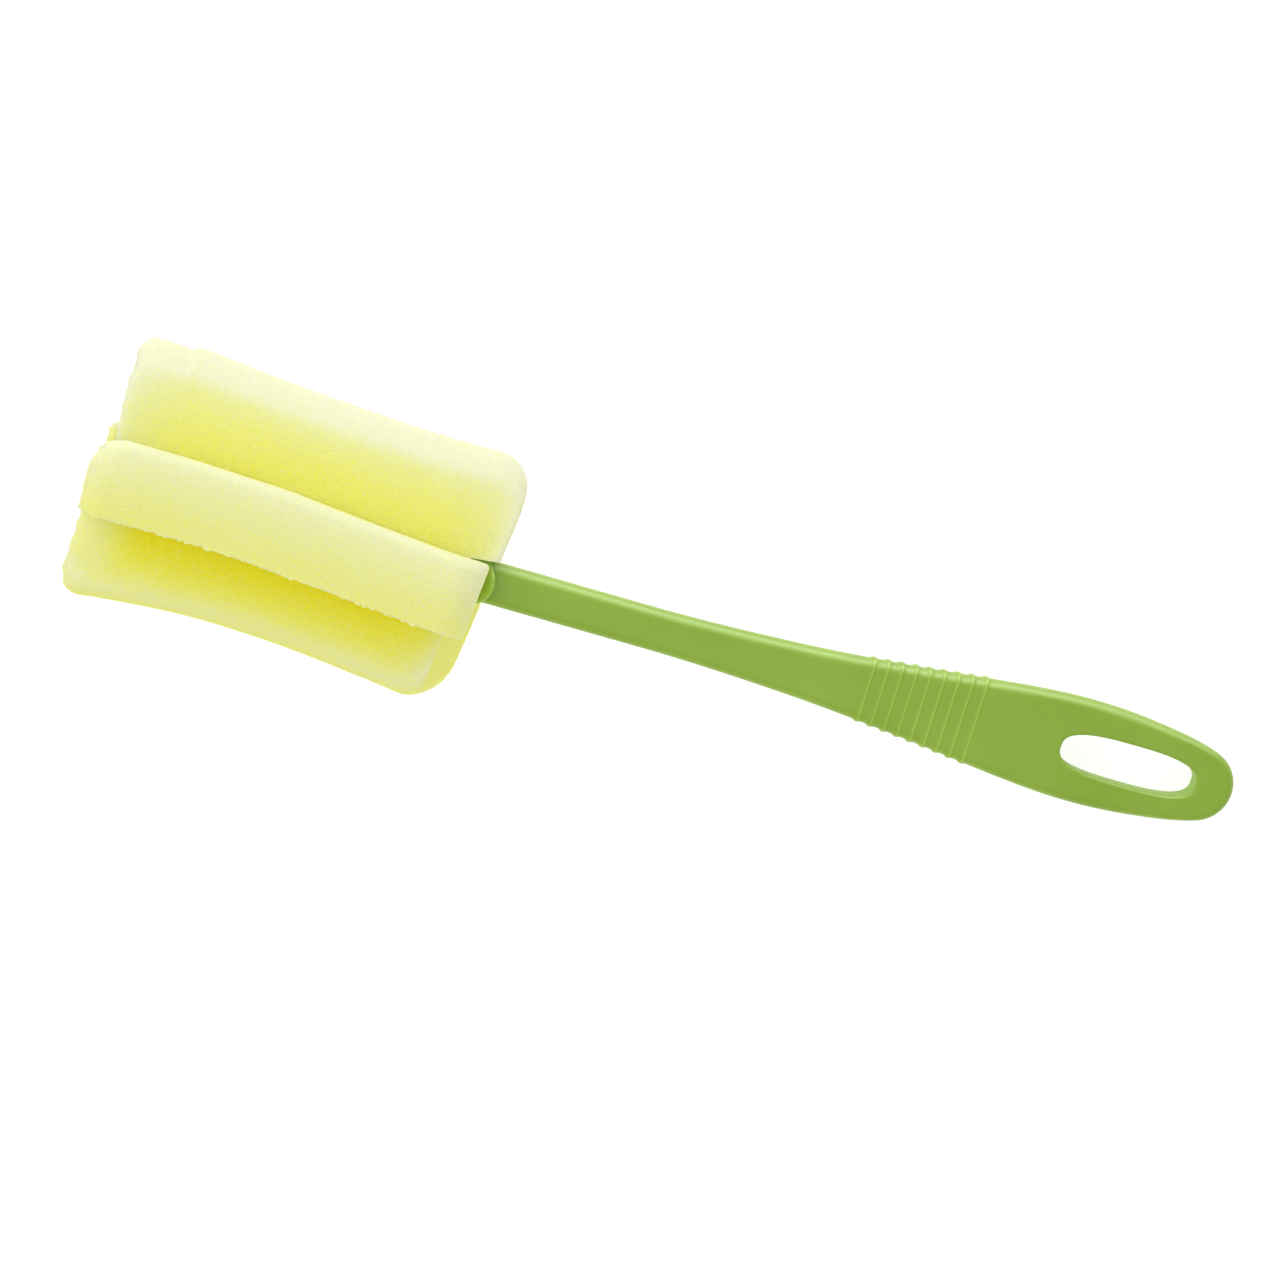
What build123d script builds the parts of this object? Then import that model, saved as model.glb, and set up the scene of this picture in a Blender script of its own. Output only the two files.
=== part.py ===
from build123d import *

import math
import os

# Cup-washing sponge brush: a moulded handle with a barbed stem, and a foam head of
# four vanes on the stem. All lengths are millimetres.
#
# Frame: the brush lies along X with its hanging loop at the +X end, the flat front
# of the handle faces +Z, and the origin is the centre of the whole brush's box,
# which is on the axis of the handle.

# ---- driving dimensions -----------------------------------------------------

# How near a corner or an edge has to be to a place to count as there
TOLERANCE = 0.01
OVERALL_LENGTH = 281.0
HANDLE_TIP_X = OVERALL_LENGTH / 2
FOAM_FAR_X = -OVERALL_LENGTH / 2

# Handle: a flat bar that widens into a loop
HANDLE_THICKNESS = 6.2
EDGE_RADIUS = 2.4
SHAFT_HALF_WIDTH = 5.0
SHAFT_START_X = -51.0
TAPER_START_X = -8.0
LOOP_WIDEST_X = 102.0
LOOP_HALF_WIDTH = 12.6
NOSE_RADIUS = 9.0
NOSE_ANGLE = 72.0
# Half widths of the handle at these x, from the taper to the nose
HANDLE_SIDE = [
    (28.8, 6.2),
    (57.8, 8.6),
    (87.0, 11.8),
    (LOOP_WIDEST_X, LOOP_HALF_WIDTH),
    (117.5, 11.7),
]

# Hanging slot through the loop
SLOT_START_X = 96.6
SLOT_END_X = 130.8
SLOT_WIDEST_X = 114.0
SLOT_HALF_WIDTH = 5.05
SLOT_START_HALF_WIDTH = 3.1
SLOT_END_HALF_WIDTH = 3.3
SLOT_END_BULGE = 0.8
SLOT_CORNER_RADIUS = 2.2
SLOT_EDGE_RADIUS = 0.7

# Grip ribs round the handle
RIB_COUNT = 9
RIB_FIRST_X = 47.2
RIB_PITCH = 3.41
RIB_WIDTH = 0.8
RIB_HEIGHT = 0.45

# Collar and barbs: plates swept back towards the handle, like an arrow's head
COLLAR_X = -50.7
COLLAR_RADIUS = 6.4
PLATE_THICKNESS = 1.3
BARB_RADIUS = 5.4
BARB_COUNT = 5
BARB_PITCH = 14.0
STEM_RADIUS = 2.8
STEM_TIP_X = -129.0
STEM_POINT_LENGTH = 6.0

# Foam head
VANE_THICKNESS = 18.0
VANE_REACH = 31.0
VANE_WAIST_REACH = 29.4
VANE_WAIST_PLACE = 0.36
VANE_FAR_CORNER = 4.5
VANE_EDGE_RADIUS = 3.0
HINGE_RADIUS = 16.0
ROOT_CLEARANCE = 0.3
CORE_ARM_REACH = 11.5
CORE_CORNER_RADIUS = 2.2
CORE_FAR_X = -137.0
CORE_NEAR_X = -52.0

# Each vane: the way it points round the X axis from +Z, its two ends along X and
# the radius of its near corner. The whole brush balances over the lower vane's flat.
VANES = {
    "foam_vane_upper": (0, FOAM_FAR_X + 0.5, -49.0, 4.5),
    "foam_vane_left": (-90, FOAM_FAR_X + 2.5, -43.0, 8.5),
    "foam_vane_right": (90, FOAM_FAR_X, -47.5, 8.5),
    "foam_vane_lower": (180, FOAM_FAR_X + 1.5, -45.5, 4.5),
}


# ---- handle -----------------------------------------------------------------


def handle_blank(extra=0.0):
    """The handle without slot, ribs or stem, made larger by extra all round."""
    nose_radius = NOSE_RADIUS + extra
    nose_x = HANDLE_TIP_X - NOSE_RADIUS
    angle = math.radians(NOSE_ANGLE)
    nose_start = (nose_x + nose_radius * math.cos(angle), nose_radius * math.sin(angle))
    taper_start = (TAPER_START_X, SHAFT_HALF_WIDTH + extra)
    side = [(x, half_width + extra) for x, half_width in HANDLE_SIDE]
    ends = [(1, 0), (math.sin(angle), -math.cos(angle))]
    flank = Spline(taper_start, *side, nose_start, tangents=ends)
    shaft = Line((SHAFT_START_X, 0), (SHAFT_START_X, SHAFT_HALF_WIDTH + extra))
    shaft += Line((SHAFT_START_X, SHAFT_HALF_WIDTH + extra), taper_start)
    nose = ThreePointArc(
        nose_start,
        (nose_x + nose_radius, 0),
        (nose_start[0], -nose_start[1]),
    )
    half = shaft + flank
    outline = make_face(half + nose + mirror(half, about=Plane.XZ))
    thickness = HANDLE_THICKNESS + 2 * extra
    blank = extrude(outline, amount=thickness / 2, both=True)
    rims = blank.faces().sort_by(Axis.Z)[0].edges() + blank.faces().sort_by(Axis.Z)[-1].edges()
    start_edges = blank.faces().sort_by(Axis.X)[0].edges()
    long_edges = [edge for edge in rims if edge not in start_edges]
    return fillet(long_edges, EDGE_RADIUS + extra)


def hanging_slot():
    """The slot's face: bowed long sides between a round end and a blunter one."""
    start_x = SLOT_START_X + SLOT_END_BULGE
    end_x = SLOT_END_X - SLOT_END_BULGE
    start_top = (start_x, SLOT_START_HALF_WIDTH)
    start_low = (start_x, -SLOT_START_HALF_WIDTH)
    end_top = (end_x, SLOT_END_HALF_WIDTH)
    end_low = (end_x, -SLOT_END_HALF_WIDTH)
    edges = ThreePointArc(start_low, (SLOT_START_X, 0), start_top)
    edges += ThreePointArc(start_top, (SLOT_WIDEST_X, SLOT_HALF_WIDTH), end_top)
    edges += ThreePointArc(end_top, (SLOT_END_X, 0), end_low)
    edges += ThreePointArc(end_low, (SLOT_WIDEST_X, -SLOT_HALF_WIDTH), start_low)
    face = make_face(edges)
    return fillet(face.vertices(), SLOT_CORNER_RADIUS)


def swept_plate(apex_x, radius):
    """A plate bent to an arrow's head seen from the side, and round seen along X."""
    depth = PLATE_THICKNESS * math.sqrt(2)
    front_x = apex_x - depth / 2
    reach = 1.2 * radius
    chevron = Polyline(
        (front_x, 0),
        (front_x + reach, reach),
        (front_x + reach + depth, reach),
        (front_x + depth, 0),
        (front_x + reach + depth, -reach),
        (front_x + reach, -reach),
        close=True,
    )
    plate = extrude(Plane.XZ * make_face(chevron), amount=radius, both=True)
    envelope = Plane.YZ.offset(front_x) * extrude(Circle(radius), amount=reach + depth)
    return plate & envelope


def stem():
    """The round stem inside the foam, with a pointed tip and swept-back barbs."""
    profile = Polyline(
        (STEM_TIP_X, 0),
        (STEM_TIP_X + STEM_POINT_LENGTH, STEM_RADIUS),
        (COLLAR_X + STEM_RADIUS, STEM_RADIUS),
        (COLLAR_X + STEM_RADIUS, 0),
        close=True,
    )
    bar = revolve(make_face(profile), axis=Axis.X)
    for number in range(BARB_COUNT):
        bar += swept_plate(COLLAR_X - BARB_PITCH * (number + 1), BARB_RADIUS)
    return bar


def handle():
    """One moulding: loop, grip ribs, shaft, collar and barbed stem."""
    body = handle_blank()
    swollen = handle_blank(RIB_HEIGHT)
    for number in range(RIB_COUNT):
        rib_x = RIB_FIRST_X + number * RIB_PITCH
        slab = Pos(rib_x, 0, 0) * Box(RIB_WIDTH, 4 * LOOP_HALF_WIDTH, 4 * HANDLE_THICKNESS)
        body += swollen & slab
    body -= extrude(hanging_slot(), amount=HANDLE_THICKNESS, both=True)
    slot_rims = [
        edge
        for edge in body.edges().filter_by(GeomType.CIRCLE)
        if SLOT_START_X < edge.center().X < SLOT_END_X
        and abs(edge.center().Y) < SLOT_HALF_WIDTH + TOLERANCE
        and abs(abs(edge.center().Z) - HANDLE_THICKNESS / 2) < TOLERANCE
    ]
    body = fillet(slot_rims, SLOT_EDGE_RADIUS)
    return body + swept_plate(COLLAR_X, COLLAR_RADIUS) + stem()


# ---- foam head --------------------------------------------------------------


def foam_core(moulding):
    """The foam round the stem: a cross of short arms with a flute in each end for a
    vane's round root, and a cavity that fits the stem and its barbs."""
    arms = Rectangle(2 * CORE_ARM_REACH, VANE_THICKNESS)
    arms += Rectangle(VANE_THICKNESS, 2 * CORE_ARM_REACH)
    inner = [
        corner
        for corner in arms.vertices()
        if abs(abs(corner.X) - VANE_THICKNESS / 2) < TOLERANCE
        and abs(abs(corner.Y) - VANE_THICKNESS / 2) < TOLERANCE
    ]
    section = fillet(inner, CORE_CORNER_RADIUS)
    for turn in range(4):
        flute = Circle(VANE_THICKNESS / 2 + ROOT_CLEARANCE)
        section -= Rot(Z=90 * turn) * Pos(HINGE_RADIUS, 0) * flute
    length = CORE_NEAR_X - CORE_FAR_X
    return Plane.YZ.offset(CORE_FAR_X) * extrude(section, amount=length) - moulding


def foam_vane(turn, far_x, near_x, near_corner):
    """A slab of foam that reaches out from the core. Its outer edge is drawn in at a
    waist, its corners are round, and its root is a half cylinder round its hinge."""
    half = VANE_THICKNESS / 2
    base = HINGE_RADIUS - half - 2 * VANE_EDGE_RADIUS
    waist_x = far_x + VANE_WAIST_PLACE * (near_x - far_x)
    edges = Line((far_x, base), (far_x, VANE_REACH))
    edges += Spline(
        (far_x, VANE_REACH),
        (waist_x, VANE_WAIST_REACH),
        (near_x, VANE_REACH),
    )
    edges += Line((near_x, VANE_REACH), (near_x, base))
    edges += Line((near_x, base), (far_x, base))
    side = make_face(edges)
    outer = side.vertices().group_by(Axis.Y)[-1].sort_by(Axis.X)
    side = fillet(outer[0], VANE_FAR_CORNER)
    outer = side.vertices().filter_by(lambda corner: abs(corner.X - near_x) < TOLERANCE)
    side = fillet(outer.sort_by(Axis.Y)[-1], near_corner)
    slab = extrude(Plane.XZ * side, amount=half, both=True)
    faces = slab.faces().sort_by(Axis.Y)
    slab = fillet(faces[0].edges() + faces[-1].edges(), VANE_EDGE_RADIUS)
    root = Circle(half) + Pos(0, VANE_REACH / 2) * Rectangle(2 * half, VANE_REACH)
    channel = Plane.YZ.offset(far_x) * Pos(0, HINGE_RADIUS) * extrude(root, amount=near_x - far_x)
    return Rot(X=turn) * (slab & channel)


# ---- files ------------------------------------------------------------------

os.makedirs("parts", exist_ok=True)

moulding = handle()
nodes = {"handle": moulding, "foam_core": foam_core(moulding)}
for name, placing in VANES.items():
    nodes[name] = foam_vane(*placing)

for name, shape in nodes.items():
    export_step(shape, f"parts/{name}.step")
    box = shape.bounding_box()
    print(name, round(shape.volume), "mm3", box.min, box.max)
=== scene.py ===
# A cup-washing brush: a green moulded handle and a yellow foam head of four vanes.
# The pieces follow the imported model, in metres, in its frame: X along the brush
# towards the hanging loop, Z out of the handle's front.
import math

import bmesh
import bpy
import numpy as np
from mathutils import Matrix, Vector


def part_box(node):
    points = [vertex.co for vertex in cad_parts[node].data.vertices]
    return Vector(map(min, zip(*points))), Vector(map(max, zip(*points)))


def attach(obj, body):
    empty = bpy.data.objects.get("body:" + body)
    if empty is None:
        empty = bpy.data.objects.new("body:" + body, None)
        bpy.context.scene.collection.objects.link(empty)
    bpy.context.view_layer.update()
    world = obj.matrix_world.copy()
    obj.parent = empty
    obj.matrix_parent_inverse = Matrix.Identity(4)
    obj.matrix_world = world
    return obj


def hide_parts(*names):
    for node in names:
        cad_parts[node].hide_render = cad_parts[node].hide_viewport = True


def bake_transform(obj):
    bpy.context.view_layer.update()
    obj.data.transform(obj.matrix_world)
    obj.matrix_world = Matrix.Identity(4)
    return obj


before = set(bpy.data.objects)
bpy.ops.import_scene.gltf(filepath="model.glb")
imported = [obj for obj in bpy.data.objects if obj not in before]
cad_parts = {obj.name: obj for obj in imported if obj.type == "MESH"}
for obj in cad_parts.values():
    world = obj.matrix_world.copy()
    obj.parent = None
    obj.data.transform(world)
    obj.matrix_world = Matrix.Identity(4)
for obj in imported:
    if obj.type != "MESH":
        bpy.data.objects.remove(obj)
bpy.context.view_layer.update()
MM = 0.001

# ---------------------------------------------------------------------------
# Handle. One injection moulding in satin green polypropylene: a flat bar with
# round edges that widens into a loop, with raised ribs round the grip.
# ---------------------------------------------------------------------------

handle_low, handle_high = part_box("handle")
TIP_X = handle_high.x
SHAFT_START_X = -51 * MM
HALF_THICKNESS = 3.1 * MM
EDGE_RADIUS = 2.4 * MM
NOSE_RADIUS = 9 * MM
NOSE_ANGLE = math.radians(72)
NOSE_X = TIP_X - NOSE_RADIUS

# Stations along the side of the handle: x and half width in millimetres, and slope
SIDE = np.array(
    [
        (-51.0, 5.0, 0.0),
        (-8.0, 5.0, 0.0),
        (28.8, 6.2, 0.055),
        (57.8, 8.6, 0.098),
        (87.0, 11.8, 0.092),
        (102.0, 12.6, -0.002),
        (117.5, 11.7, -0.122),
        (134.3, 8.56, -0.325),
    ]
)

SLOT_START_X = 96.4 * MM
SLOT_END_X = 130.8 * MM
SLOT_HALF_WIDTH = 5.05 * MM
SLOT_SHAPE = 2.8
SLOT_EDGE_RADIUS = 0.8 * MM
SLOT_COLUMNS = 110
SLOT_STEPS = 400
# From here to the nose the face's rows run from the slot to the outline
FACE_TURNS_X = 88 * MM

RIB_COUNT = 9
RIB_FIRST_X = 47.2 * MM
RIB_PITCH = 3.41 * MM
RIB_HEIGHT = 0.40 * MM
# Half a rib's width on the flat faces and on the sides, and its height on the faces
# as a share of its height on the sides
RIB_FOOT = 0.62 * MM
RIB_SIDE_FOOT = 1.3 * MM
RIB_ON_FACE = 0.35

# How many points the surface has along the shaft, the grip, the turn of the rows
# and the nose, and across the face, over an edge and down a wall
SHAFT_ROWS = 90
GRIP_ROWS = 260
TURN_ROWS = 24
SIDE_STEPS = 120
NOSE_STEPS = 60
FACE_STEPS = 15
EDGE_STEPS = 11
WALL_STEPS = 4
SLOT_EDGE_STEPS = 7
SLOT_WALL_STEPS = 5

# Points nearer to each other than this are one point
WELD = 0.002 * MM


def half_width(x):
    """Half the handle's width at x: a cubic between each two stations that meets
    their widths and slopes."""
    at, width, slope = SIDE[:, 0] * MM, SIDE[:, 1] * MM, SIDE[:, 2]
    i = np.clip(np.searchsorted(at, x) - 1, 0, len(at) - 2)
    span = at[i + 1] - at[i]
    t = np.clip((x - at[i]) / span, 0, 1)
    rise = (1 + 2 * t) * (1 - t) ** 2 * width[i] + t**2 * (3 - 2 * t) * width[i + 1]
    return rise + span * (t * (1 - t) ** 2 * slope[i] - t**2 * (1 - t) * slope[i + 1])


def spread_evenly(points, count):
    """count points at equal steps along a polyline given as an array of points."""
    steps = np.linalg.norm(np.diff(points, axis=0), axis=1)
    along = np.concatenate([[0], np.cumsum(steps)])
    at = np.linspace(0, along[-1], count)
    return np.stack([np.interp(at, along, points[:, k]) for k in range(2)], axis=1)


def slot_outline(offset):
    """The upper half of the slot's outline, grown by offset: a superellipse, where
    |x/a|^n + |y/b|^n = 1 about the slot's middle."""
    angle = np.linspace(math.pi, 0, SLOT_STEPS)
    a = (SLOT_END_X - SLOT_START_X) / 2
    power = 2 / SLOT_SHAPE
    x = (SLOT_START_X + SLOT_END_X) / 2 + a * np.sign(np.cos(angle)) * abs(np.cos(angle)) ** power
    y = SLOT_HALF_WIDTH * np.sin(angle).clip(0) ** power
    line = spread_evenly(np.stack([x, y], axis=1), SLOT_COLUMNS)
    ahead = np.gradient(line, axis=0)
    ahead[[0, -1]] = (0, 1), (0, -1)
    out = np.stack([-ahead[:, 1], ahead[:, 0]], axis=1)
    grown = line + offset * out / np.linalg.norm(out, axis=1, keepdims=True)
    grown[[0, -1], 1] = 0
    return grown


def grid_faces(rows, columns, wrap=False):
    """The quads of a grid of points stored row by row; wrap joins the last column to
    the first."""
    r, c = np.meshgrid(np.arange(rows - 1), np.arange(columns - (not wrap)), indexing="ij")
    right = (c + 1) % columns
    quads = [r * columns + c, r * columns + right, (r + 1) * columns + right, (r + 1) * columns + c]
    return np.stack(quads, axis=-1).reshape(-1, 4)


def make_piece(name, points, faces, values):
    """A smooth closed mesh object from points and quads, with its doubles merged and
    its normals outwards. values is a dict of attributes, one number a point."""
    mesh = bpy.data.meshes.new(name)
    mesh.from_pydata(points.reshape(-1, 3).tolist(), [], faces.tolist())
    for label, numbers in values.items():
        layer = mesh.attributes.new(label, "FLOAT", "POINT")
        layer.data.foreach_set("value", numbers.astype(np.float32).ravel())
    work = bmesh.new()
    work.from_mesh(mesh)
    bmesh.ops.remove_doubles(work, verts=work.verts, dist=WELD)
    bmesh.ops.recalc_face_normals(work, faces=work.faces)
    work.to_mesh(mesh)
    work.free()
    mesh.shade_smooth()
    piece = bpy.data.objects.new(name, mesh)
    bpy.context.scene.collection.objects.link(piece)
    return piece


def rib_rise(x, foot=RIB_FOOT):
    """How far the surface stands out at x: a raised cosine at each rib, that ends
    foot away from the rib's middle."""
    number = np.clip(np.round((x - RIB_FIRST_X) / RIB_PITCH), 0, RIB_COUNT - 1)
    away = abs(x - RIB_FIRST_X - number * RIB_PITCH) / foot
    return RIB_HEIGHT * 0.5 * (1 + np.cos(math.pi * away.clip(0, 1)))


def handle_quarter():
    """The quarter of the handle with y and z above 0. Each column runs over the face
    from the middle line, or from the slot, to the outline, then over the edge's
    quarter circle and down the side to the middle plane."""
    grip_start = RIB_FIRST_X - 2 * RIB_SIDE_FOOT
    grip_end = RIB_FIRST_X + (RIB_COUNT - 1) * RIB_PITCH + 2 * RIB_SIDE_FOOT
    shaft_x = np.linspace(SHAFT_START_X, grip_start, SHAFT_ROWS)
    x = np.concatenate([shaft_x, np.linspace(grip_start, grip_end, GRIP_ROWS)[1:]])
    turn = np.linspace(0, 1, TURN_ROWS)[1:-1]
    outer_x = np.concatenate([x, grip_end + turn * (FACE_TURNS_X - grip_end)])
    slot = slot_outline(SLOT_EDGE_RADIUS)
    inner_x = np.concatenate([x, grip_end + turn * (slot[0, 0] - grip_end)])
    inner = np.concatenate([np.stack([inner_x, 0 * inner_x], axis=1), slot])
    angle = np.linspace(NOSE_ANGLE, 0, NOSE_STEPS)
    side_x = np.linspace(FACE_TURNS_X, NOSE_X + NOSE_RADIUS * math.cos(NOSE_ANGLE), SIDE_STEPS)
    side = np.stack([side_x, half_width(side_x)], axis=1)
    nose = np.stack([NOSE_X + NOSE_RADIUS * np.cos(angle), NOSE_RADIUS * np.sin(angle)], axis=1)
    loop = spread_evenly(np.concatenate([side, nose[1:]]), SLOT_COLUMNS)
    outer = np.concatenate([np.stack([outer_x, half_width(outer_x)], axis=1), loop])
    width = np.linalg.norm(outer - inner, axis=1)
    across = (outer - inner) / width[:, None]
    rise = rib_rise(inner[:, 0])
    side_rise = rib_rise(inner[:, 0], RIB_SIDE_FOOT)
    face = np.linspace(0, 1, FACE_STEPS)
    bend = np.linspace(0, math.pi / 2, EDGE_STEPS)[1:]
    wall = np.linspace(1, 0, WALL_STEPS)[1:]
    reach = np.concatenate(
        [
            face[None, :] * (width - EDGE_RADIUS)[:, None],
            (width - EDGE_RADIUS)[:, None] + (EDGE_RADIUS + side_rise)[:, None] * np.sin(bend),
            (width + side_rise)[:, None] * np.ones(len(wall)),
        ],
        axis=1,
    )
    high = np.concatenate(
        [
            (HALF_THICKNESS + RIB_ON_FACE * rise)[:, None] * np.ones(len(face)),
            HALF_THICKNESS - EDGE_RADIUS + (EDGE_RADIUS + RIB_ON_FACE * rise)[:, None] * np.cos(bend),
            (HALF_THICKNESS - EDGE_RADIUS) * wall[None, :] * np.ones((len(inner), 1)),
        ],
        axis=1,
    )
    flat = inner[:, None, :] + reach[..., None] * across[:, None, :]
    return np.concatenate([flat, high[..., None]], axis=2)


def slot_quarter():
    """The slot's wall with y and z above 0: from the face over a quarter circle and
    down to the middle plane."""
    line = slot_outline(0)
    grown = slot_outline(SLOT_EDGE_RADIUS)
    bend = np.linspace(0, math.pi / 2, SLOT_EDGE_STEPS)
    wall = np.linspace(1, 0, SLOT_WALL_STEPS)[1:]
    share = np.concatenate([1 - np.sin(bend), 0 * wall])
    straight = HALF_THICKNESS - SLOT_EDGE_RADIUS
    high = np.concatenate([straight + SLOT_EDGE_RADIUS * np.cos(bend), straight * wall])
    flat = line[:, None, :] + share[None, :, None] * (grown - line)[:, None, :]
    high = np.broadcast_to(high[None, :, None], flat.shape[:2] + (1,))
    return np.concatenate([flat, high], axis=2)


def mirrored(surface):
    """A quarter's points and quads, repeated on all four sides of the x axis."""
    points, faces = [], []
    quads = grid_faces(*surface.shape[:2])
    for sign_y in (1, -1):
        for sign_z in (1, -1):
            faces.append(quads + surface.shape[0] * surface.shape[1] * len(points))
            points.append(surface.reshape(-1, 3) * (1, sign_y, sign_z))
    return np.concatenate(points), np.concatenate(faces)


def end_cap(column):
    """A cap over the handle's start: its quarter column drawn in to the x axis."""
    share = np.array([1.0, 0.5, 0.0])
    middle = column * (1, 0, 0)
    return middle[None] + share[:, None, None] * (column - middle)[None]


quarter = handle_quarter()
sheets = [mirrored(quarter), mirrored(slot_quarter()), mirrored(end_cap(quarter[0]))]
offsets = np.cumsum([0] + [len(points) for points, _ in sheets])
points = np.concatenate([points for points, _ in sheets])
# The rib crests get a painted highlight through this attribute
handle = make_piece(
    "handle_moulding",
    points,
    np.concatenate([faces + start for (_, faces), start in zip(sheets, offsets)]),
    {"thin": (rib_rise(points[:, 0]) / RIB_HEIGHT) ** 3},
)


class Signal:
    """A socket in a material's nodes. Sums, differences and products of signals and
    numbers add their Math nodes."""

    def __init__(self, tree, socket=None):
        self.tree, self.socket = tree, socket

    def node(self, kind, settings, inputs, output=0):
        """Adds a node, sets its properties, then its sockets to values or signals."""
        made = self.tree.nodes.new(kind)
        for name, value in settings.items():
            if name == "stops":
                self.set_stops(made.color_ramp.elements, value)
            else:
                setattr(made, name, value)
        for name, value in inputs.items():
            if isinstance(value, Signal):
                self.tree.links.new(value.socket, made.inputs[name])
            else:
                made.inputs[name].default_value = value
        return Signal(self.tree, made.outputs[output] if made.outputs else None)

    def set_stops(self, stops, values):
        """Gives a new ramp, which has two stops, these places and colours."""
        for _ in values[2:]:
            stops.new(1)
        for stop, (place, colour) in zip(stops, values):
            stop.position = place
            stop.color = (*colour, 1)

    def math(self, operation, *values):
        """A Math node of these values."""
        return self.node("ShaderNodeMath", {"operation": operation}, dict(enumerate(values)))

    def __add__(self, other):
        return self.math("ADD", self, other)

    def __sub__(self, other):
        return self.math("SUBTRACT", self, other)

    def __rsub__(self, other):
        return self.math("SUBTRACT", other, self)

    def __mul__(self, other):
        return self.math("MULTIPLY", self, other)

    __radd__, __rmul__ = __add__, __mul__


def new_material(name):
    """An empty material, and the signal that its nodes are made from."""
    material = bpy.data.materials.new(name)
    material.use_nodes = True
    material.node_tree.nodes.clear()
    return material, Signal(material.node_tree)


def finish_material(made, shader):
    """Sends a shader to the material's output."""
    made.node("ShaderNodeOutputMaterial", {}, {"Surface": shader})


def green_plastic():
    """Satin polypropylene: faint flow marks in the colour, a painted highlight where the
    surface turns from the flat and along the rib crests, painted light over the collar,
    stem and barbs, a low uneven gloss, and a fine mould grain over slight sink marks."""
    material, make = new_material("satin_green_plastic")
    place = make.node("ShaderNodeTexCoord", {}, {}, "Object")
    flow = make.node("ShaderNodeTexNoise", {}, {"Vector": place, "Scale": 45.0, "Detail": 3.0})
    grain = make.node("ShaderNodeTexNoise", {}, {"Vector": place, "Scale": 2600.0, "Detail": 2.0})
    sink = make.node("ShaderNodeTexNoise", {}, {"Vector": place, "Scale": 110.0, "Detail": 1.0})
    normal = make.node("ShaderNodeNewGeometry", {}, {}, "Normal")
    upright = make.node("ShaderNodeSeparateXYZ", {}, {"Vector": normal}, "Z")
    # Painted highlight: paler where the surface turns from the flat, on the rounded edges
    rim = 1 - make.math("ABSOLUTE", upright)
    # Painted light: a highlight along the rib crests, and the collar, stem and barbs lighter all over
    thin = make.node("ShaderNodeAttribute", {"attribute_name": "thin"}, {}, "Fac")
    colour = make.node(
        "ShaderNodeValToRGB",
        {
            "stops": [
                (0.15, (0.240, 0.400, 0.016)),
                (0.35, (0.266, 0.432, 0.028)),
                (0.85, (0.360, 0.560, 0.058)),
            ]
        },
        {"Fac": flow * 0.5 + rim * 0.5 + thin * 0.5},
    )
    relief = grain * 0.02 + sink * 0.35
    bump = make.node("ShaderNodeBump", {}, {"Height": relief, "Distance": 0.0004, "Strength": 0.5})
    shader = make.node(
        "ShaderNodeBsdfPrincipled",
        {},
        {
            "Base Color": colour,
            "Roughness": 0.43 + grain * 0.08,
            "Normal": bump,
            "Subsurface Weight": 0.12,
            "Subsurface Radius": (0.6, 1.0, 0.2),
            "Subsurface Scale": 0.002,
            "IOR": 1.49,
        },
    )
    finish_material(make, shader)
    return material


plastic = green_plastic()
handle.data.materials.append(plastic)
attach(handle, "handle_and_core")
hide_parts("handle")

# ---------------------------------------------------------------------------
# Collar and stem. The same moulding goes on into the foam: a thin collar swept
# back like an arrow's head stops the foam, and barbs of the same form hold it.
# ---------------------------------------------------------------------------

COLLAR_X = -50.7 * MM
COLLAR_RADIUS = 6.4 * MM
PLATE_THICKNESS = 1.3 * MM
PLATE_APEX_ROUND = 0.5 * MM
BARB_RADIUS = 5.4 * MM
BARB_COUNT = 5
BARB_PITCH = 14 * MM
STEM_RADIUS = 2.8 * MM
STEM_TIP_X = handle_low.x
STEM_POINT_LENGTH = 6 * MM
PLATE_TURN_STEPS = 121
PLATE_FLAT_STEPS = 14
PLATE_RIM_STEPS = 9
STEM_TURN_STEPS = 33


def swept_plate(apex_x, radius):
    """A round plate of even thickness whose middle surface is x = apex + |z|, with
    the fold and the rim rounded, as rings of points."""
    half = PLATE_THICKNESS / 2
    turn = np.linspace(0, 2 * math.pi, PLATE_TURN_STEPS)[:-1]
    bend = np.linspace(-math.pi / 2, math.pi / 2, PLATE_RIM_STEPS)[1:-1]
    flat = np.linspace(0, 1, PLATE_FLAT_STEPS) * (radius - half)
    ring = np.concatenate([flat, radius - half + half * np.cos(bend), flat[::-1]])
    side = np.concatenate([0 * flat - 1, np.sin(bend), 0 * flat + 1]) * half
    y = ring[:, None] * np.cos(turn)
    z = ring[:, None] * np.sin(turn)
    fold = np.sqrt(z**2 + PLATE_APEX_ROUND**2)
    slope = z / fold
    length = np.sqrt(1 + slope**2)
    x = apex_x + fold - PLATE_APEX_ROUND + side[:, None] / length
    return np.stack([x, y, z - side[:, None] * slope / length], axis=2)


def stem_surface():
    """The stem: a profile of radius against x, turned round the x axis."""
    root_x = COLLAR_X + 2 * STEM_RADIUS
    x = np.array([STEM_TIP_X, STEM_TIP_X + STEM_POINT_LENGTH, root_x, root_x])
    radius = np.array([0, STEM_RADIUS, STEM_RADIUS, 0])
    turn = np.linspace(0, 2 * math.pi, STEM_TURN_STEPS)[:-1]
    rings = [radius[:, None] * np.cos(turn), radius[:, None] * np.sin(turn)]
    return np.stack([x[:, None] + 0 * turn, *rings], axis=2)


def add_plastic(name, surface):
    """A piece of the moulding from rings of points round the x axis."""
    # Painted light: the collar, stem and barbs are lighter all over, as though lit from the foam
    values = {"thin": np.ones(surface.shape[:2])}
    piece = make_piece(name, surface, grid_faces(*surface.shape[:2], wrap=True), values)
    piece.data.materials.append(plastic)
    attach(piece, "handle_and_core")


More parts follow.
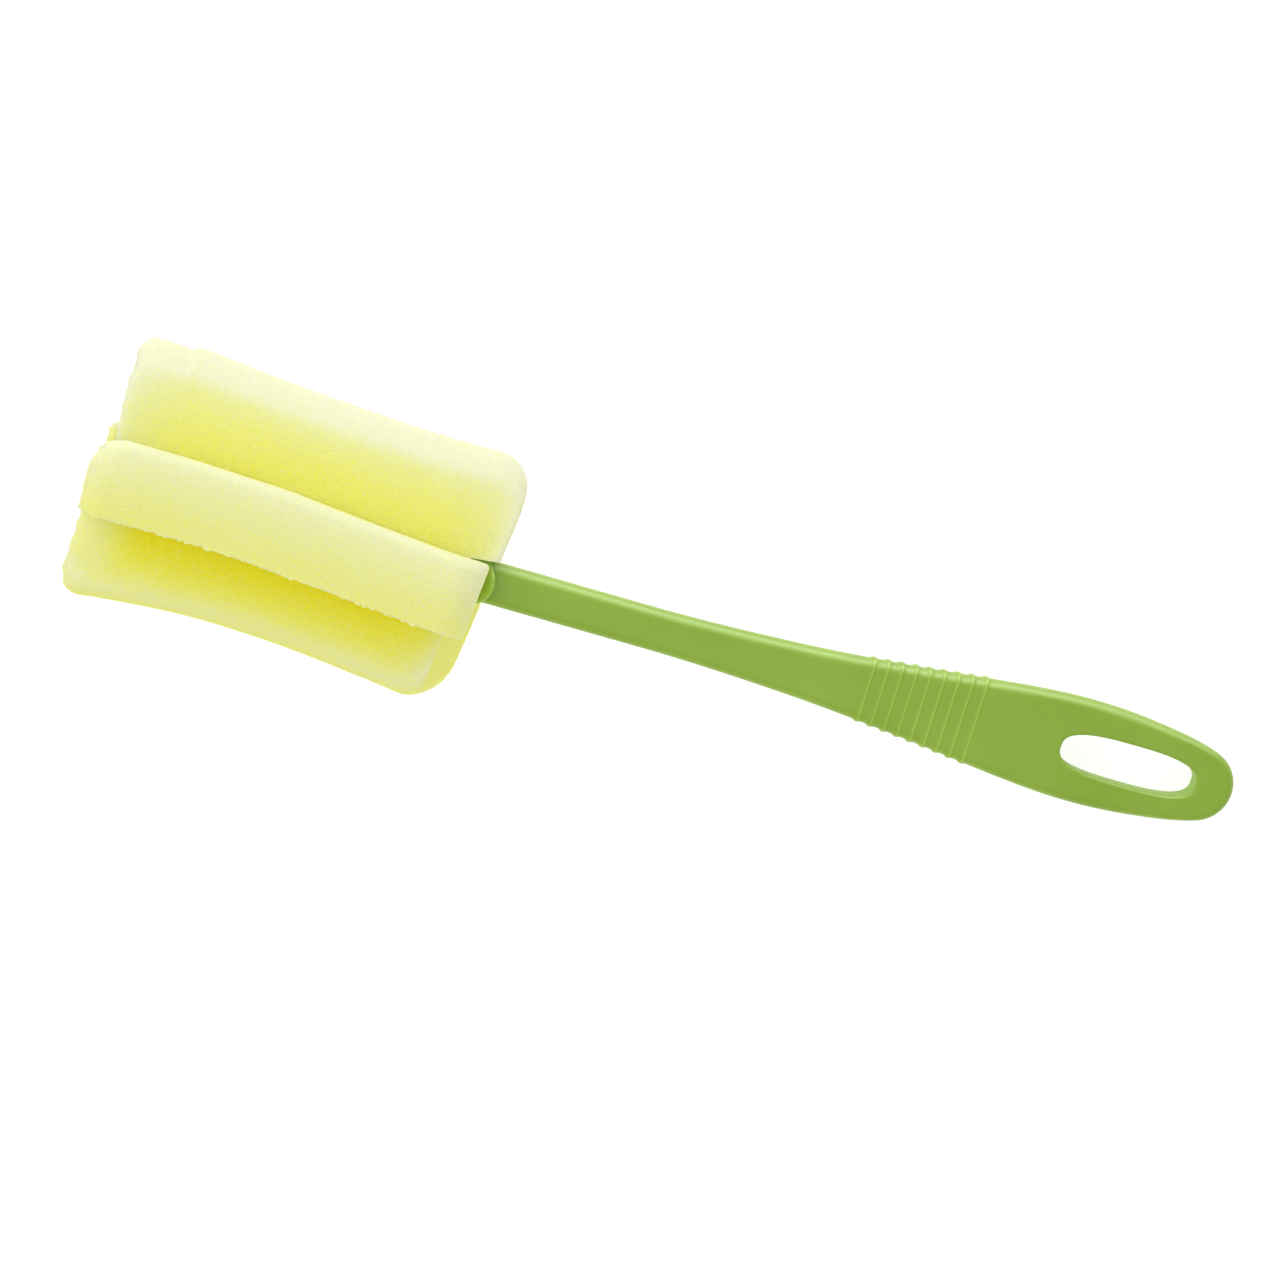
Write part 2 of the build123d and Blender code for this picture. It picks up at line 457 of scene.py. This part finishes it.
add_plastic("collar", swept_plate(COLLAR_X, COLLAR_RADIUS))
add_plastic("stem", stem_surface())
for number in range(BARB_COUNT):
    add_plastic(f"barb_{number + 1}", swept_plate(COLLAR_X - BARB_PITCH * (number + 1), BARB_RADIUS))

# ---------------------------------------------------------------------------
# Foam head. Fine open-cell polyurethane foam, cut with a blade, so its faces are
# flat but fuzzy and its ends are ragged. A core holds the stem and four vanes
# stand out from it; each is bent a little its own way.
# ---------------------------------------------------------------------------

core_low, core_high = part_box("foam_core")
VANE_HALF = 9 * MM
ROOT_RADIUS = 3.4 * MM
END_ROUND = 1.2 * MM
CROWN = 1.2 * MM
# From one ring of a vane to the next
SPACING = 0.30 * MM
# The flank's tones and the leans run between these distances from the axis
FACE_START = 9 * MM
FACE_END = 29 * MM
# The core's foam reaches out to the vanes' far ends, just inside their flanks
CORE_FAR_X = core_low.x - 1.6 * MM
CORE_HALF = VANE_HALF - 0.3 * MM
CORE_SHAPE = 8
# The whole head is bowed: how far, and over what length from its near end
BOW = 2.3 * MM
BOW_LENGTH = 66 * MM
# Cell and height of the fuzz's fine and coarse grain and of the foam's slow lumps
FINE_CELL = 0.7 * MM
FINE_HEIGHT = 0.035 * MM
COARSE_CELL = 1.7 * MM
COARSE_HEIGHT = 0.015 * MM
LUMP_CELL = 12 * MM
LUMP_HEIGHT = 0.25 * MM
# The ragged far end: its height, its two cells and how far it reaches along
RAGGED_HEIGHT = 0.7 * MM
RAGGED_CELL = 3 * MM
RAGGED_FINE_CELL = 1.2 * MM
RAGGED_LENGTH = 4 * MM
# How many random values the noise has along an axis before it repeats
LATTICE = 64


def lattice_noise(points, cell, seed):
    """Smooth noise from -1 to 1: random values at the corners of a cubic lattice,
    blended with weights 3t^2 - 2t^3 along each axis."""
    values = np.random.default_rng(seed).uniform(-1, 1, (LATTICE, LATTICE, LATTICE))
    place = points / cell
    low = np.floor(place).astype(int)
    t = place - low
    weight = t * t * (3 - 2 * t)
    total = 0
    for corner in np.ndindex(2, 2, 2):
        index = (low + corner) % LATTICE
        share = np.prod(np.where(corner, weight, 1 - weight), axis=-1)
        total = total + share * values[index[..., 0], index[..., 1], index[..., 2]]
    return total


def smoothstep(value):
    """3t^2 - 2t^3 of the value held between 0 and 1."""
    t = np.clip(value, 0, 1)
    return t * t * (3 - 2 * t)


def through(values, f):
    """The parabola through three values at f = 0, 1/2 and 1."""
    first, middle, last = values
    return first + (last - first) * f - 4 * ((first + last) / 2 - middle) * f * (1 - f)


def head_bend(x):
    """How far the foam's middle line lies to +Y of the handle's axis."""
    return BOW * smoothstep((core_high.x - x) / BOW_LENGTH)


def ring_normals(points):
    """Unit normals of rings of points, from the cross product of the steps along
    the rings and round them."""
    along = np.gradient(points, axis=0)
    around = np.roll(points, -1, axis=1) - np.roll(points, 1, axis=1)
    normal = np.cross(around, along)
    return normal / np.maximum(np.linalg.norm(normal, axis=2, keepdims=True), 1e-12)


def fuzz(points, seed, strength=1.0):
    """Roughens rings of points along their normals: two sizes of grain, multiplied by
    strength, over slow lumps."""
    size = FINE_HEIGHT * lattice_noise(points, FINE_CELL, seed)
    size += COARSE_HEIGHT * lattice_noise(points, COARSE_CELL, seed + 1)
    size = size * strength + LUMP_HEIGHT * lattice_noise(points, LUMP_CELL, seed + 2)
    size[[0, -1]] = 0
    return points + ring_normals(points) * size[..., None]


def torn_end(points, x, seed):
    """How far the ragged far end stands out, for points that lie x from it: noise of
    two sizes that fades along the head."""
    ragged = lattice_noise(points, RAGGED_CELL, seed)
    ragged += 0.5 * lattice_noise(points, RAGGED_FINE_CELL, seed + 1)
    return RAGGED_HEIGHT * ragged * (1 - smoothstep(x / RAGGED_LENGTH))


# How many points go round a tip edge, over the tip and the root, and up a flank
ROUND_STEPS = 11
TIP_STEPS = 40
FLANK_STEPS = 62


def vane_section(half, low, high, corners):
    """Points round a vane's cross section for each ring: t from -half to half and r
    from low to high, with the tip's two edges rounded by corners (+t, -t). Each
    argument is an array with one number a ring. Also gives how far each point faces
    outwards: 1 on the tip, 0 on the flanks, and the sine round the edges."""
    half, low, high, plus, minus = (v[:, None] for v in np.broadcast_arrays(half, low, high, *corners))
    plus, minus = np.minimum(plus, half), np.minimum(minus, half)
    arc = np.linspace(0, math.pi / 2, ROUND_STEPS)[None, :]
    tip = np.linspace(0, 1, TIP_STEPS)[None, 1:-1]
    flank = np.linspace(0, 1, FLANK_STEPS)[None, 1:-1]
    root = np.linspace(-1, 1, TIP_STEPS)[None, :]
    across = [
        half - plus + plus * np.cos(arc),
        half - plus + (minus + plus - 2 * half) * tip,
        minus - half - minus * np.sin(arc),
        -half * np.ones_like(flank),
        half * root,
        half * np.ones_like(flank),
    ]
    outward = [
        high - plus + plus * np.sin(arc),
        high * np.ones_like(tip),
        high - minus + minus * np.cos(arc),
        high - minus - (high - low - minus) * flank,
        low * np.ones_like(root),
        low + (high - low - plus) * flank,
    ]
    facing = [np.sin(arc), 1 + 0 * tip, np.cos(arc), 0 * flank, 0 * root, 0 * flank]
    t, r, facing = (np.concatenate(parts, axis=1) for parts in (across, outward, facing))
    return t, r, np.broadcast_to(facing, t.shape)


def vane_block(length, reach, corners, edges):
    """The straight vane as (x from its far end, t across it, r out from the axis):
    rings that open from a line in the far end, run along it, and close again. Its
    outer edge is a parabola through reach, less a quarter circle at each corner."""
    inset = np.linspace(VANE_HALF, END_ROUND, 20)
    arc = np.linspace(0, math.pi / 2, 5)[1:-1]
    x = np.concatenate([0 * inset, END_ROUND * (1 - np.cos(arc))])
    d = np.concatenate([inset, END_ROUND * (1 - np.sin(arc))])
    body = np.linspace(END_ROUND, length - END_ROUND, int(length / SPACING))
    x = np.concatenate([x, body, length - x[::-1]])
    d = np.concatenate([d, 0 * body, d[::-1]])
    edge = through(reach, x / length)
    for size, away in zip(corners, (x, length - x)):
        edge = edge - size + np.sqrt(np.maximum(size**2 - (size - np.minimum(away, size)) ** 2, 0))
    edges = [np.maximum(size - d, 0.1 * MM) for size in edges]
    t, r, facing = vane_section(VANE_HALF - d, ROOT_RADIUS + d, edge - d, edges)
    x, edge, d = (np.broadcast_to(v[:, None], t.shape) for v in (x, edge, d))
    r = r + CROWN * facing * (1 - (t / VANE_HALF) ** 2)
    return x, t, r, edge, facing * (d < END_ROUND)


# Painted light: how much paler the foam is at its rims, and over what width that fades;
# a flank's rim is that much narrower along the tip than at the ends
RIM_PALER = 0.45
RIM_WIDTH = 5 * MM
TIP_NARROWER = 1.6
NEAR_RIM_PALER = 0.3
NEAR_RIM_WIDTH = 1.5 * MM
TIP_RIM_PALER = 0.12
TIP_RIM_WIDTH = 2.5 * MM
# The far end's painted light: the least tone there, how far in it reaches and how it fades
FAR_LIGHT_TONE = 0.62
FAR_LIGHT_LENGTH = 15 * MM
FAR_LIGHT_FADE = 13 * MM


def foam_tone(x, t, r, edge, facing, length, flank_tones, tip_tones, power, end_tone):
    """How pale the foam is, from 0 to 1, which paints light and shade into its colour. A
    flank goes from its first tone at the root, a deep painted shade in the groove, to its
    second at the tip; the tip face's tones are for its -t and +t edges. Every edge is
    paler, as painted light getting in from both its sides, most of all at the far end.
    end_tone is for the near end's own face."""
    out = np.clip((r - FACE_START) / (FACE_END - FACE_START), 0, 1) ** power
    flank = flank_tones[0] + (flank_tones[1] - flank_tones[0]) * out
    ends = np.minimum(x, length - x)
    # Painted light along the flank's rims and at the near end
    flank = flank + RIM_PALER * np.exp(-np.minimum(ends, (edge - r) * TIP_NARROWER) / RIM_WIDTH)
    flank = flank + NEAR_RIM_PALER * np.exp((x - length) / NEAR_RIM_WIDTH)
    # Painted light: the far end paler still
    far_light = smoothstep((FAR_LIGHT_LENGTH - x) / FAR_LIGHT_FADE)
    flank = flank + np.maximum(FAR_LIGHT_TONE - flank, 0) * far_light
    share = (t / VANE_HALF + 1) / 2
    tip = tip_tones[0] + (tip_tones[1] - tip_tones[0]) * share
    # Painted light along the tip face's edges
    tip = tip + TIP_RIM_PALER * np.exp(-np.minimum(ends / 2, VANE_HALF - abs(t)) / TIP_RIM_WIDTH)
    tone = np.clip(flank + (tip - flank) * facing, 0, 1)
    return tone + (end_tone - tone) * smoothstep((x - length) / END_ROUND + 1)


# The tuft: where its hump starts and ends, measured from the far end, and over what
# lengths it rises and fades
TUFT_START = 11 * MM
TUFT_RISE = 1.5 * MM
TUFT_END = 32 * MM
TUFT_FADE = 20 * MM
# The near end leaves the core's end for its own place at this distance from the
# axis, which clears the shaft, and over BEHIND_EASE where the foam is behind it
SHAFT_CLEARANCE = 5.4 * MM
BEHIND_EASE = 5 * MM
# The far end leaves the core's over this much of the vane's height
FAR_EASE = 6 * MM
# The distance from the axis at which a sloped near end is in its given place
SLOPE_START = 6 * MM
# How much rougher a torn edge is than the cut faces
TORN = 24


def foam_vane(
    node, turn, far, near, reach, seed,
    root_lean=(0, 0, 0), tip_lean=(0, 0, 0), near_slope=0, behind=0, tuft=0,
    corners=(5 * MM, 8 * MM), far_edge=1.5 * MM, edges=(2 * MM, 2 * MM), torn=(1, 1),
    flank_tones=(0.2, 0.9), tip_tones=(0.6, 0.6), power=1.0, end_tone=0.6,
):
    """One vane, turned from +Z towards +Y. far and near are its ends at t = -half and
    +half; near_slope is how fast the near end draws back on the way out; reach and
    the leans towards +t are for the far end, middle and near end; edges and far_edge
    round the tip's edges and the far end's +t edge; behind is the sign of t behind
    the shaft, where the near end closes in on it; tuft is a low torn hump; torn is
    how ragged the tip's edges at +t and -t are."""
    length = np.mean(near) - np.mean(far)
    x, t, r, edge, facing = vane_block(length, reach, corners, edges)
    tone = foam_tone(x, t, r, edge, facing, length, flank_tones, tip_tones, power, end_tone)
    f = x / length
    out = smoothstep((r - FACE_START) / (FACE_END - FACE_START))
    hump = smoothstep((x - TUFT_START) / TUFT_RISE) * smoothstep((TUFT_END - x) / TUFT_FADE)
    r = r + tuft * out * hump
    clear = r + (np.hypot(t, r) - r) * smoothstep(behind * t / BEHIND_EASE)
    near_outward = smoothstep((clear - SHAFT_CLEARANCE) / MM)
    far_outward = smoothstep((r - ROOT_RADIUS) / FAR_EASE)
    share = (t / VANE_HALF + 1) / 2
    past = np.clip((t - VANE_HALF + far_edge) / far_edge, 0, 0.98)
    far_x = far[0] + (far[1] - far[0]) * share + far_edge * (1 - np.sqrt(1 - past**2))
    near_x = near[0] + (near[1] - near[0]) * share - near_slope * (r - SLOPE_START)
    far_x = CORE_FAR_X + far_outward * (far_x - CORE_FAR_X)
    near_x = core_high.x + near_outward * (near_x - core_high.x)
    across = t + (1 - out) * through(root_lean, f) + out * through(tip_lean, f)
    e_r = np.array((0, math.sin(turn), math.cos(turn)))
    e_t = np.array((0, math.cos(turn), -math.sin(turn)))
    points = r[..., None] * e_r + across[..., None] * e_t
    points[..., 0] = far_x + f * (near_x - far_x)
    points[..., 0] -= torn_end(points, f * length, seed + 7)
    points[..., 1] += head_bend(points[..., 0])
    points = fuzz(points, seed, 1 + TORN * np.where(t > 0, *torn) * facing * (1 - facing))
    piece = make_piece(
        node + "_foam", points, grid_faces(*points.shape[:2], wrap=True), {"tone": tone}
    )
    piece.data.materials.append(foam)
    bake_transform(piece)
    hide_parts(node)


def yellow_foam():
    """Fine foam, coloured by the tone attribute's painted light and shade: pale at the edges,
    a fuller yellow in the faces and deepest in the grooves, with painted glints and small
    cells in colour and relief."""
    material, make = new_material("yellow_foam")
    place = make.node("ShaderNodeTexCoord", {}, {}, "Object")
    tone = make.node("ShaderNodeAttribute", {"attribute_name": "tone"}, {}, "Fac")
    cells = make.node("ShaderNodeTexVoronoi", {}, {"Vector": place, "Scale": 1700.0}, "Distance")
    fibres = make.node("ShaderNodeTexNoise", {}, {"Vector": place, "Scale": 2800.0, "Detail": 2.0})
    clouds = make.node("ShaderNodeTexNoise", {}, {"Vector": place, "Scale": 110.0, "Detail": 2.0})
    glints = make.node("ShaderNodeTexVoronoi", {}, {"Vector": place, "Scale": 300.0}, "Distance")
    # The cells' term is painted shade in the hollows between cells, and the glints are painted; the
    # clouds and fibres vary the colour itself
    shade = tone + (clouds - 0.5) * 0.10 + (fibres - 0.5) * 0.5 - (cells - 0.4) * 0.25
    shade = shade + glints.math("LESS_THAN", glints, 0.07) * 0.5
    colour = make.node(
        "ShaderNodeValToRGB",
        {
            "stops": [
                (0.0, (0.90, 0.81, 0.02)),
                (0.33, (0.87, 0.86, 0.165)),
                (0.67, (0.85, 0.86, 0.39)),
                (1.0, (0.86, 0.88, 0.62)),
            ]
        },
        {"Fac": shade},
    )
    relief = fibres * 0.7 - cells * 0.9
    bump = make.node("ShaderNodeBump", {}, {"Height": relief, "Distance": 0.00025, "Strength": 0.5})
    shader = make.node(
        "ShaderNodeBsdfPrincipled",
        {},
        {
            "Base Color": colour,
            "Roughness": 0.95,
            "Normal": bump,
            "Subsurface Weight": 0.35,
            "Subsurface Radius": (1.0, 0.95, 0.35),
            "Subsurface Scale": 0.004,
            "Specular IOR Level": 0.15,
        },
    )
    finish_material(make, shader)
    return material


foam = yellow_foam()


def core_surface():
    """The core: a rounded square, as the superellipse |y/a|^n + |z/a|^n = 1, carried
    along the head and closed at both ends by rings that shrink to the axis."""
    turn = np.linspace(0, 2 * math.pi, 161)[:-1]
    y = CORE_HALF * np.sign(np.cos(turn)) * abs(np.cos(turn)) ** (2 / CORE_SHAPE)
    z = CORE_HALF * np.sign(np.sin(turn)) * abs(np.sin(turn)) ** (2 / CORE_SHAPE)
    body = np.linspace(CORE_FAR_X, core_high.x, 200)
    opening = np.linspace(0, 1, 30)[:-1]
    closing = np.linspace(1, 0, 20)[1:]
    x = np.concatenate([CORE_FAR_X + 0 * opening, body, core_high.x + 0 * closing])
    share = np.concatenate([opening, np.ones(len(body)), closing])
    points = np.stack([x[:, None] + 0 * y, share[:, None] * y, share[:, None] * z], axis=2)
    points[..., 0] -= torn_end(points, points[..., 0] - CORE_FAR_X, 5)
    points[..., 1] += head_bend(points[..., 0])
    return points


points = fuzz(core_surface(), 3)
# Painted shade: the core lies at the bottom of the grooves, so it is a deep yellow; painted light
# makes it paler over its last 3 mm at the far end
tone = 0.3 + 0.3 * smoothstep((CORE_FAR_X + 3 * MM - points[..., 0]) / (3 * MM))
faces = grid_faces(*points.shape[:2], wrap=True)
core = make_piece("foam_core_foam", points, faces, {"tone": tone})
core.data.materials.append(foam)
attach(core, "handle_and_core")
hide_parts("foam_core")

QUARTER_TURN = math.pi / 2
# Painted light: the tip face is paler towards +t, the side the light comes from
foam_vane(
    "foam_vane_upper", 0,
    far=(-140.3 * MM, -140.3 * MM), near=(-49.7 * MM, -48.3 * MM),
    reach=(30.5 * MM, 29.4 * MM, 30 * MM), seed=10,
    root_lean=(-1.6 * MM, -1.9 * MM, -3.9 * MM), tip_lean=(1.4 * MM, 0.6 * MM, -1.3 * MM),
    far_edge=7 * MM, edges=(2 * MM, 0.5 * MM), torn=(0.2, 2.4),
    flank_tones=(0.3, 0.4), tip_tones=(0.42, 0.85),
)
# Painted light: this vane faces the light, so its flanks, tip and near end are pale
foam_vane(
    "foam_vane_left", QUARTER_TURN,
    far=(-137.2 * MM, -137.4 * MM), near=(-45.2 * MM, -45 * MM),
    reach=(29.8 * MM, 28.4 * MM, 29 * MM), seed=20,
    near_slope=-0.12, behind=1, tuft=1.1 * MM,
    corners=(3.5 * MM, 9 * MM), edges=(2 * MM, 6 * MM), torn=(0.2, 0.2),
    flank_tones=(0.45, 0.92), tip_tones=(0.95, 0.92), power=1.9, end_tone=0.9,
)
# Painted shade: this vane lies in the upper vane's shadow, so its flanks are deep at the root and its
# tip and near end are dark
foam_vane(
    "foam_vane_right", -QUARTER_TURN,
    far=(-140 * MM, -140.5 * MM), near=(-44.9 * MM, -51.8 * MM),
    reach=(30.3 * MM, 27.3 * MM, 30.3 * MM), seed=30,
    near_slope=0.1, behind=-1,
    corners=(5 * MM, 7 * MM), edges=(4 * MM, 3 * MM), torn=(0.4, 0.4),
    flank_tones=(0.0, 0.72), tip_tones=(0.36, 0.36), power=1.6, end_tone=0.4,
)
foam_vane(
    "foam_vane_lower", 2 * QUARTER_TURN,
    far=(-137 * MM, -137.2 * MM), near=(-45.8 * MM, -46 * MM),
    reach=(30.2 * MM, 29.2 * MM, 29.8 * MM), seed=40,
    tip_lean=(-1 * MM, -1.5 * MM, -2 * MM), corners=(5 * MM, 5 * MM),
)

# ---------------------------------------------------------------------------
# Camera, table and light. The brush lies on a pale table with its loop end and
# its lower vane down, and the camera looks straight down on the table.
# ---------------------------------------------------------------------------

AXIS_TURN = math.radians(15.85)
AXIS_TILT = math.radians(7.7)
ROLL = math.radians(9.0)
CAMERA_HEIGHT = 0.785
LENS = 94.0
SENSOR_WIDTH = 36.0
AXIS_ABOVE_MIDDLE = 3.4 * MM
MIDDLE_ALONG_AXIS = -7.7 * MM

# The brush's axes, seen from the camera: right, up and back
level = Vector((math.cos(AXIS_TURN), -math.sin(AXIS_TURN), 0))
along = level * math.cos(AXIS_TILT) - Vector((0, 0, math.sin(AXIS_TILT)))
up = (Vector((0, 0, 1)) - along * along.z).normalized()
side = up.cross(along)
front = up * math.cos(ROLL) - side * math.sin(ROLL)
left = front.cross(along)
beside = Vector((math.sin(AXIS_TURN), math.cos(AXIS_TURN), 0))
origin = Vector((0, 0, -CAMERA_HEIGHT)) + beside * AXIS_ABOVE_MIDDLE - along * MIDDLE_ALONG_AXIS
to_camera = Matrix((along, left, front)).transposed()
to_row = to_camera.inverted()

camera_data = bpy.data.cameras.new("camera")
camera_data.lens = LENS
camera_data.sensor_width = SENSOR_WIDTH
camera_data.clip_start = 0.01
camera_data.clip_end = 50
camera = bpy.data.objects.new("camera", camera_data)
camera.matrix_world = Matrix.Translation(to_row @ -origin) @ to_row.to_4x4()
bpy.context.scene.collection.objects.link(camera)
bpy.context.scene.camera = camera

TABLE_DEPTH = 0.8125
TABLE_HALF = 4.0


def table_top():
    """A plane square to the camera's line of sight, under the brush."""
    signs = np.array([(-1, -1), (1, -1), (1, 1), (-1, 1)])
    seen = [Vector((*corner, -TABLE_DEPTH)) for corner in signs * TABLE_HALF]
    mesh = bpy.data.meshes.new("table")
    mesh.from_pydata([tuple(to_row @ (corner - origin)) for corner in seen], [], [(0, 1, 2, 3)])
    table = bpy.data.objects.new("table", mesh)
    bpy.context.scene.collection.objects.link(table)
    material, make = new_material("pale_table")
    lit = make.node("ShaderNodeEmission", {}, {"Color": (1, 1, 1, 1), "Strength": 1.5})
    plain = make.node("ShaderNodeBsdfDiffuse", {}, {"Color": (0.9, 0.9, 0.9, 1)})
    both = make.node("ShaderNodeMixShader", {}, {0: 0.5, 1: plain, 2: lit})
    clear = make.node("ShaderNodeBsdfTransparent", {}, {})
    behind = make.node("ShaderNodeNewGeometry", {}, {}, "Backfacing")
    finish_material(make, make.node("ShaderNodeMixShader", {}, {0: behind, 1: both, 2: clear}))
    mesh.materials.append(material)


table_top()


def soft_light(name, towards, distance, size, power):
    """A square area light that looks at the brush from a direction given in the
    camera's own axes: right, up and back."""
    lamp = bpy.data.lights.new(name, "AREA")
    lamp.shape, lamp.size, lamp.energy = "SQUARE", size, power
    light = bpy.data.objects.new(name, lamp)
    way = (to_row @ Vector(towards)).normalized()
    light.location = way * distance
    light.rotation_mode = "QUATERNION"
    light.rotation_quaternion = way.to_track_quat("Z", "Y")
    bpy.context.scene.collection.objects.link(light)
    return light


soft_light("key_light", (-0.45, 0.5, 1.0), 1.2, 0.9, 4.4)
soft_light("edge_light", (0.3, 1.0, 0.35), 1.2, 0.6, 2.7)
soft_light("low_light", (0.0, -0.45, 1.0), 1.4, 1.0, 3.8)
# Seen only as a reflection: it draws the pale band along the plastic's rounded edge
soft_light("gloss_light", (0.4, 1.0, 0.4), 1.4, 1.8, 56.0).visible_diffuse = False

world = bpy.data.worlds.new("studio")
world.use_nodes = True
background = world.node_tree.nodes["Background"]
background.inputs["Color"].default_value = (1, 1, 1, 1)
background.inputs["Strength"].default_value = 0.56
bpy.context.scene.world = world
bpy.context.scene.view_settings.view_transform = "Standard"
